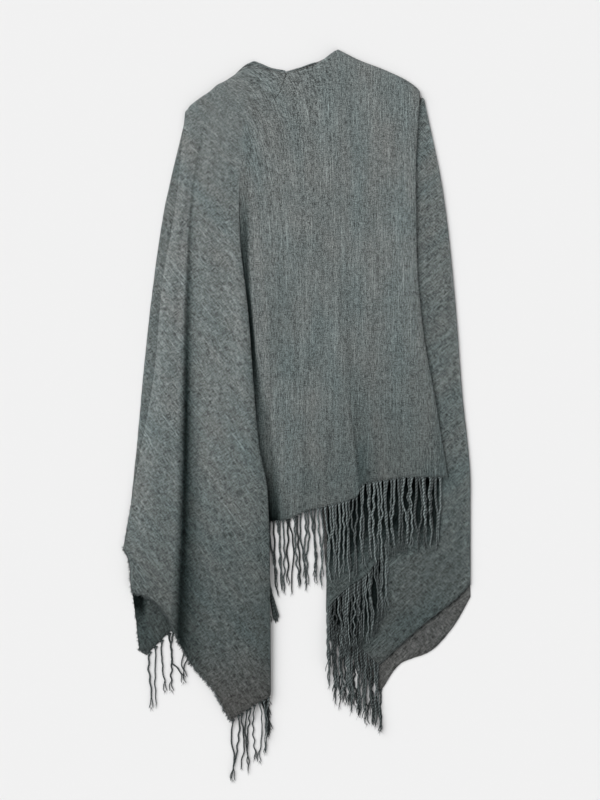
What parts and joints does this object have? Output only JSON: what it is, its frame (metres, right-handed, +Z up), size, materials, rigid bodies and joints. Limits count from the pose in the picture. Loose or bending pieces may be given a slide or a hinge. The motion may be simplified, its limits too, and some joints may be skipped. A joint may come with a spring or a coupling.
{
  "type": "poncho scarf",
  "caption": "Open-front poncho scarf of grey woven cloth with twisted fringe, laid flat on its fronts with its back up and its sides lying in folds.",
  "frame": {"origin": "middle of the laid-out wrap, on the surface that it lies on", "axes": "+Z up from that surface, +Y towards the shoulders, +X to the right of the back as seen from above"},
  "size_m": [0.6082, 1.2828, 0.0183],
  "materials": {
    "woven_cloth": "matt melange plain weave with slubs",
    "twisted_fringe": "matt two-ply twisted yarn",
    "neck_roll": "matt rolled edge of the same cloth"
  },
  "bodies": {
    "root": {"back_panel": "woven_cloth", "left_drape": "woven_cloth", "right_drape": "woven_cloth", "right_return": "woven_cloth", "left_front": "woven_cloth", "right_front": "woven_cloth", "fringe_back": "twisted_fringe", "fringe_right_return": "twisted_fringe", "fringe_right_drape": "twisted_fringe", "fringe_right_front": "twisted_fringe", "fringe_left_drape": "twisted_fringe", "fringe_left_hidden": "twisted_fringe", "fringe_left_front": "twisted_fringe", "neck_edge_left": "neck_roll", "neck_edge_right": "neck_roll"}
  },
  "joints": []
}
